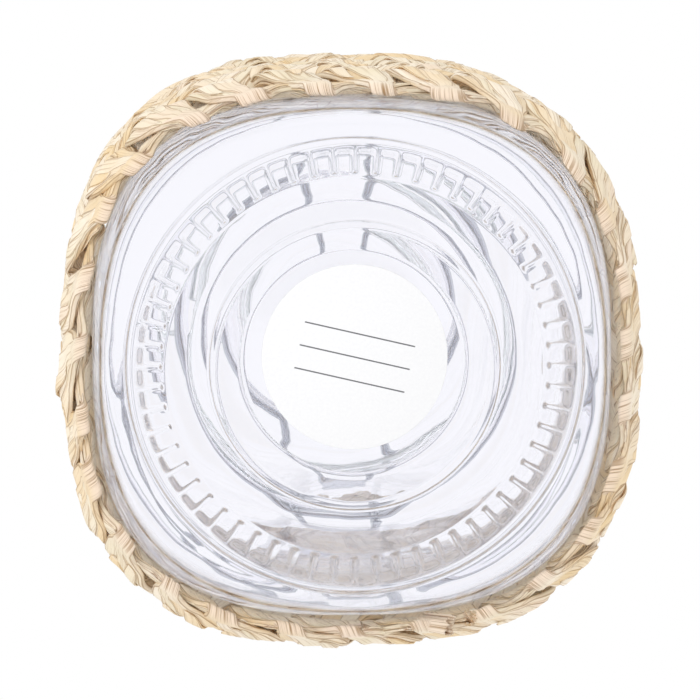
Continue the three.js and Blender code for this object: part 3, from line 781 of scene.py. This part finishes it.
spot = level_spot
for shift in (offset, lean):
    spot = add(plait, VECTOR, [spot, shift], "ADD")
slide = add(plait, VECTOR, {0: ahead, "Scale": back_forth}, "SCALE")
rise = add(plait, JOIN, {2: up_down})
rise = add(plait, VECTOR, [rise, slide], "ADD")
shape = add(plait, "GeometryNodeSetPosition", {"Geometry": waves, "Position": spot, "Offset": rise})
shape = add(plait, "GeometryNodeMergeByDistance", {0: shape, "Distance": weld})
shape = add(plait, "GeometryNodeSetShadeSmooth", [shape])
end_tree(plait, shape, given["Finish"])

# %% The twelve strands
route_data = bpy.data.curves.new("sleeve_outline", "CURVE")
route_data.dimensions = "3D"
add_loop(route_data, outline[:-1])
route_object = bpy.data.objects.new("sleeve_outline", route_data)
scene.collection.objects.link(route_object)


def lay_map(piece, places):
    strand_map = piece.data.uv_layers.new(name="strand")
    for loop, corner in zip(piece.data.loops, strand_map.data):
        corner.uv = places[loop.vertex_index]


strand_points = np.array(wave_points) * mm
for row in range(4):
    for number in range(3):
        strand = new_object(f"rush_row{row + 1}_strand{number + 1}", strand_points, [], wave_faces)
        lay_map(strand, wave_uv)
        for label_name, values in zip(("fold", "across", "blade", "edge"), zip(*wave_shares)):
            strand.data.attributes.new(label_name, "FLOAT", "POINT").data.foreach_set("value", values)
        grow(strand, plait, {
            "Outline": route_object, "Waves": plait_periods, "Wave length": period * mm,
            "Start": period * (0.75 - number / 3) * mm, "Row height": row_heights[row] * mm,
            "Middle": sleeve_middle * mm, "Stand radius": stand_radius * mm, "Heel reach": heel_reach * mm,
            "Heel height": heel_height * mm, "Square power": body_power, "Unevenness": 3.2 * mm,
            "Lump size": 13 * mm, "Width change": 1.5, "Blade drift": 6 * mm, "Blade rise": 1.6 * mm,
            "Seed": 3.0 * row + number, "Finish": rush})
        dress(strand, "jar", "rush", f"plait_row{row + 1}_strand{number + 1}")
bpy.data.objects.remove(route_object)

# %% [markdown]
# ## The splice
# Where a bundle of leaf comes to its end, its stems are cut off short at the lower edge, and the next leaf
# is rolled in beside them. The stems are thin tubes stood on scattered points by a tree, which keeps them
# few and the same each time. The roll is a strip wound in a loose spiral and given the leaf's thickness.

# %% Tree of cut stems
stems, given = new_tree("cut_stems", {
    "Count": "Int", "Spread": "Float", "Stem radius": "Float", "Stem length": "Float", "Lean": "Float",
    "Seed": "Int", "Finish": "Material"})
stem_drop, stem_map, cut_end_dark = -0.2, (3.0, 6.0, 0.0), 0.96
seeds = [add(stems, MATH, [given["Seed"], float(way)]) for way in range(4)]
shifts = [add(stems, "FunctionNodeRandomValue", {"Seed": seed}, data_type="FLOAT").outputs[1]
          for seed in seeds]
turn = add(stems, MATH, [shifts[0], math.tau], "MULTIPLY")
reach = add(stems, MATH, [shifts[1]], "SQRT")
reach = add(stems, MATH, [reach, given["Spread"]], "MULTIPLY")
parts = (add(stems, MATH, [turn], way) for way in ("COSINE", "SINE"))
spot = [add(stems, MATH, [part, reach], "MULTIPLY") for part in parts]
down = shifts[2]
for by in (stem_drop, given["Stem length"]):
    down = add(stems, MATH, [down, by], "MULTIPLY")
foot = add(stems, JOIN, spot + [down])
points = add(stems, "GeometryNodePoints", {"Count": given["Count"], "Position": foot})
tube = add(stems, "GeometryNodeMeshCylinder", {
    "Vertices": 7, "Side Segments": 2, "Radius": given["Stem radius"], "Depth": given["Stem length"]})
fibres = add(stems, VECTOR, [tube.outputs["UV Map"], stem_map], "MULTIPLY")
tube_map = add(stems, STORE, {0: tube.outputs["Mesh"], "Name": "strand", "Value": fibres},
               data_type="FLOAT2", domain="CORNER")
# The cut ends take the leaf's edge value, so the finish draws them darker in its brown.
cut = add(stems, STORE, {
    0: tube_map, "Selection": tube.outputs["Bottom"], "Name": "edge", "Value": cut_end_dark}, data_type="FLOAT",
    domain="FACE")
lean = add(stems, VECTOR, {0: foot, "Scale": given["Lean"]}, "SCALE")
tip_x, tip_y, _ = add(stems, SPLIT, [lean]).outputs
tip = add(stems, JOIN, [tip_y, tip_x])
size = add(stems, RANGE, {0: shifts[3], 3: 0.7, 4: 1.35})
size = add(stems, JOIN, [size, size, 1.0])
stood = add(stems, "GeometryNodeInstanceOnPoints", {
    "Points": points, "Instance": cut, "Rotation": tip, "Scale": size})
own = add(stems, STORE, {0: stood, "Name": "turn", "Value": shifts[3]}, data_type="FLOAT",
          domain="INSTANCE")
end_tree(stems, own, given["Finish"])
stem_ends = grow(new_object("rush_stem_ends", [(0, 0, 0)]), stems, {
    "Count": 30, "Spread": 1.7 * mm, "Stem radius": 0.24 * mm, "Stem length": 7 * mm, "Lean": 60.0,
    "Seed": 4, "Finish": rush})
stem_place, stem_tilt = Vector((-25.2, -56.4, 11.8)) * mm, 0.25
stem_ends.data.transform(Matrix.Translation(stem_place) @ Matrix.Rotation(stem_tilt, 4, "X"))
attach(stem_ends, "jar")
print(stem_ends.name, len(stem_ends.data.polygons), "faces")

# %% Rolled leaf
roll_angle, roll_radius, roll_length, roll_thickness = 1.45 * math.tau, 2.0, 7.0, 0.32
roll_place, roll_way = Vector((-14.6, -56.9, 11.4)) * mm, Vector((-0.86, -0.05, -0.5))
rounds, steps = 26, 9
roll_points, roll_uv = [], []
for a in np.linspace(0, roll_angle, rounds):
    r = roll_radius * (0.55 + 0.45 * a / roll_angle)
    ragged = 0.5 * math.sin(3.1 * a) + 0.35 * math.sin(7.3 * a + 1)
    for t in np.linspace(0, 1, steps):
        wide = r * (1 + 0.18 * t * t)
        point = (t * (roll_length + ragged), wide * math.cos(a), wide * math.sin(a))
        roll_points.append(Vector(point) * mm)
        roll_uv.append((r * a, 6 * t))
roll_faces = [(i + j, i + j + 1, i + j + steps + 1, i + j + steps)
              for i in range(0, (rounds - 1) * steps, steps) for j in range(steps - 1)]
leaf_roll = new_object("rush_rolled_leaf", roll_points, [], roll_faces)
lay_map(leaf_roll, roll_uv)
leaf_roll.data.attributes.new("fold", "FLOAT", "POINT").data.foreach_set("value", [0.8] * len(roll_points))
leaf_roll.data.materials.append(rush)
thick = leaf_roll.modifiers.new("leaf_thickness", "SOLIDIFY")
thick.thickness, thick.offset = roll_thickness * mm, 0
leaf_roll.data = settled(leaf_roll)
leaf_roll.modifiers.clear()
leaf_roll.data.polygons.foreach_set("use_smooth", [True] * len(leaf_roll.data.polygons))
axis = roll_way.to_track_quat("X", "Z").to_matrix().to_4x4()
leaf_roll.data.transform(Matrix.Translation(roll_place) @ axis)
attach(leaf_roll, "jar")
print(leaf_roll.name, len(leaf_roll.data.polygons), "faces")

# %% [markdown]
# ## Drawn wire
# The neck wire, lid wire and clasp are stainless wire, drawn through a die, so they shine along their
# length with fine lines. Each is a list of corners that a tree rounds off and sweeps a circle along. The
# tree also leaves two values on the mesh, the way to the nearer end and the place on the circle, and the
# finish draws its lines from these. They agree where a loop closes, so no join shows.

# %% Stainless wire
steel, tree, shader = finish_named("drawn_stainless_wire")
round_place, along_place = (add(tree, "ShaderNodeAttribute", attribute_name=name)
                            for name in ("round", "along"))
line_gap, line_run = 0.5, 25.0      # in mm: the die's lines are finer, and are drawn wide enough to show
scaled = add(tree, VECTOR, {0: round_place.outputs["Vector"], "Scale": 1 / (line_gap * mm)}, "SCALE")
run = add(tree, MATH, [along_place.outputs["Fac"], line_run * mm], "DIVIDE")
run = add(tree, JOIN, {2: run})
lines = add(tree, VECTOR, [scaled, run], "ADD")
scratch = add(tree, NOISE, {"Vector": lines, "Scale": 1.0, "Detail": 2.0})
tone = add(tree, "ShaderNodeMix", {0: scratch, 6: linear("#c0c4c8"), 7: linear("#e2e4e7")},
           data_type="RGBA")
rough = add(tree, RANGE, [scratch, 0.3, 0.7, 0.16, 0.34])
feed(shader, {"Base Color": tone.outputs[2], "Metallic": 1.0, "Roughness": rough})
print(steel.name, "lines", line_gap, "mm apart")

# %% Tree that draws wire
drawn, given = new_tree("drawn_wire", {
    "Bend radius": "Float", "Wire radius": "Float", "Sides": "Int", "Finish": "Material"})
line = add(drawn, "GeometryNodeMeshToCurve", [given["Geometry"]])
bent = add(drawn, "GeometryNodeFilletCurve", {
    "Curve": line, "Radius": given["Bend radius"], "Limit Radius": True, "Count": 6}, mode="POLY")
reach, whole = (add(drawn, kind).outputs["Length"]
                for kind in ("GeometryNodeSplineParameter", "GeometryNodeSplineLength"))
left = add(drawn, MATH, [whole, reach], "SUBTRACT")
nearer = add(drawn, MATH, [reach, left], "MINIMUM")
bent = add(drawn, STORE, {0: bent, "Name": "along", "Value": nearer}, data_type="FLOAT")
ring = add(drawn, "GeometryNodeCurvePrimitiveCircle", {
    "Resolution": given["Sides"], "Radius": given["Wire radius"]})
spot = add(drawn, "GeometryNodeInputPosition")
ring = add(drawn, STORE, {0: ring, "Name": "round", "Value": spot}, data_type="FLOAT_VECTOR")
swept = add(drawn, "GeometryNodeCurveToMesh", {"Curve": bent, "Profile Curve": ring, "Fill Caps": True})
wire_weld = 0.0003 * mm
swept = add(drawn, "GeometryNodeMergeByDistance", {"Geometry": swept, "Distance": wire_weld})
shape = add(drawn, "GeometryNodeSetShadeSmooth", [swept])
end_tree(drawn, shape, given["Finish"])

# %% Routes of the wires
wire_radius, eye_wire, eye_ring, wire_bend, wire_sides = 1.4, 1.2, 2.95, 3.0, 14
neck_wire_radius, neck_wire_z, keeper_y, keeper_x, keeper_root = 46.7, 119.0, -50.6, 12.5, 17.0
lid_wire_radius, lid_wire_z, tongue_x, hinge_leg = 32.7, 139.7, 13.5, 9.5
hinge_y, hinge_z, clasp_y, hinge_eye = 52.5, 134.0, -52.5, 5.0
clasp_x, clasp_length, release = 9.5, 31.0, math.radians(8)


def arc(radius, z, begin, end, steps):
    return [(radius * math.cos(a), radius * math.sin(a), z) for a in np.linspace(begin, end, steps)]


def eye(x, y, z, begin):
    return [(x, y + eye_ring * math.cos(a), z + eye_ring * math.sin(a))
            for a in np.linspace(begin, begin + math.tau, 25)[:-1]]


def drawn_wire(name, routes):
    pieces = []
    for points, closed, radius in routes:
        edges = [(i, i + 1) for i in range(len(points) - 1)] + ([(len(points) - 1, 0)] if closed else [])
        piece = new_object(name, [Vector(p) * mm for p in points], edges)
        pieces.append(grow(piece, drawn, {
            "Bend radius": wire_bend * mm, "Wire radius": radius * mm, "Sides": wire_sides,
            "Finish": steel}))
    if len(pieces) > 1:
        with bpy.context.temp_override(active_object=pieces[0], selected_editable_objects=pieces):
            bpy.ops.object.join()
    pieces[0].name = name
    return pieces[0]


begin = math.asin(keeper_root / neck_wire_radius) - math.pi / 2
neck_loop = arc(neck_wire_radius, neck_wire_z, begin, math.pi - begin, 90)
neck_loop += [(-keeper_x, keeper_y, neck_wire_z), (keeper_x, keeper_y, neck_wire_z)]
neck_routes = [(neck_loop, True, wire_radius)]
for x in (-hinge_eye, hinge_eye):
    post = [(x, math.sqrt(neck_wire_radius ** 2 - x * x), neck_wire_z), (x, hinge_y, neck_wire_z),
            (x, hinge_y, hinge_z - eye_ring)]
    neck_routes += [(post, False, eye_wire), (eye(x, hinge_y, hinge_z, -math.pi / 2), True, eye_wire)]
neck_wire = drawn_wire("neck_wire_drawn", neck_routes)
dress(neck_wire, "jar", "steel_wire", "neck_wire")

# %% Lid wire and clasp
tongue_root = math.asin(tongue_x / lid_wire_radius) - math.pi / 2
hinge_root = math.acos(hinge_leg / lid_wire_radius)
right = [(tongue_x, clasp_y, lid_wire_z)] + arc(lid_wire_radius, lid_wire_z, tongue_root, hinge_root, 46)
right += [(hinge_leg, hinge_y - wire_radius, lid_wire_z), (hinge_leg, hinge_y, hinge_z)]
lid_loop = right + [(-x, y, z) for x, y, z in right[::-1]]
lid_wire = drawn_wire("lid_wire_drawn", [(lid_loop, True, wire_radius)])
dress(lid_wire, "lid", "steel_wire", "lid_wire")

hook_gap, hook_cover, leg_gap, finger_gap = 0.4, 1.0, 0.5, 0.5
keep_y, keep_z = keeper_y - clasp_y, neck_wire_z - lid_wire_z
leg_y = keep_y - 2 * wire_radius - leg_gap
hook_z = keep_z - 2 * wire_radius - hook_gap
finger_y = -(body_half + finger_gap + wire_radius) - clasp_y
right = [(clasp_x, y, z) for y, z in
         ((0, -eye_ring), (leg_y, keep_z), (leg_y, hook_z), (finger_y, -clasp_length))]
clasp_routes = [(right + [(-x, y, z) for x, y, z in right[::-1]], False, wire_radius)]
for x in (-clasp_x, clasp_x):
    clasp_routes.append(([(x, leg_y, hook_z), (x, keep_y + hook_cover, hook_z)], False, wire_radius))
    clasp_routes.append((eye(x, 0, 0, -math.pi / 2), True, eye_wire))
clasp = drawn_wire("clasp_drawn", clasp_routes)
clasp_place = Vector((0, clasp_y, lid_wire_z)) * mm
clasp.data.transform(Matrix.Translation(clasp_place) @ Matrix.Rotation(-release, 4, "X"))
dress(clasp, "clasp", "steel_wire", "clasp_lever")

# %% [markdown]
# ## Seal
# A flat ring of translucent white silicone with a tab to pull. It is drawn as a flat outline with its
# hole, given thickness with softly rounded edges, and made a mesh.

# %% Silicone seal
silicone, tree, shader = finish_named("moulded_silicone")
cloud_size = 5.0
coords = add(tree, "ShaderNodeTexCoord").outputs["Object"]
cloud = add(tree, NOISE, {"Vector": coords, "Scale": 1 / (cloud_size * mm), "Detail": 2.0})
tone = add(tree, "ShaderNodeMix", {0: cloud, 6: linear("#e4e8ea"), 7: linear("#f4f6f6")}, data_type="RGBA")
bump = add(tree, "ShaderNodeBump", {"Height": cloud, "Strength": 0.1, "Distance": 0.2 * mm})
feed(shader, {
    "Base Color": tone.outputs[2], "Roughness": 0.42, "Transmission Weight": 0.35, "Normal": bump})

seal_outer, seal_inner, seal_foot, seal_thickness = 47.7, 40.6, 130.3, 2.6
tab_half, tab_length, seal_edge = 6.0, 9.0, 0.5
seal_root = math.asin(tab_half / seal_outer)
rim_points = arc(seal_outer - seal_edge, 0, seal_root, math.tau - seal_root, 120)
tab_points = [(x + seal_outer + tab_length - tab_half, y, z) for x, y, z in
              arc(tab_half - seal_edge, 0, -math.pi / 2, math.pi / 2, 17)]
seal_data = bpy.data.curves.new("seal", "CURVE")
seal_data.dimensions = "2D"
for points in (rim_points + tab_points, arc(seal_inner + seal_edge, 0, 0, math.tau, 121)[:-1]):
    add_loop(seal_data, [p[:2] for p in points])
seal_data.extrude = (seal_thickness / 2 - seal_edge) * mm
seal_data.bevel_depth = seal_edge * mm
seal_data.bevel_resolution = 3
seal_curve = bpy.data.objects.new("seal_curve", seal_data)
scene.collection.objects.link(seal_curve)
seal_mesh = settled(seal_curve)
bpy.data.objects.remove(seal_curve)
seal_mesh.transform(Matrix.Translation((0, 0, (seal_foot + seal_thickness / 2) * mm)))
merged = bmesh.new()
merged.from_mesh(seal_mesh)
bmesh.ops.remove_doubles(merged, verts=merged.verts, dist=1e-6)
bmesh.ops.recalc_face_normals(merged, faces=merged.faces)
merged.to_mesh(seal_mesh)
merged.free()
seal_mesh.materials.clear()
seal_mesh.materials.append(silicone)
seal = bpy.data.objects.new("silicone_seal", seal_mesh)
scene.collection.objects.link(seal)
dress(seal, "lid", "seal_silicone", "seal_ring")
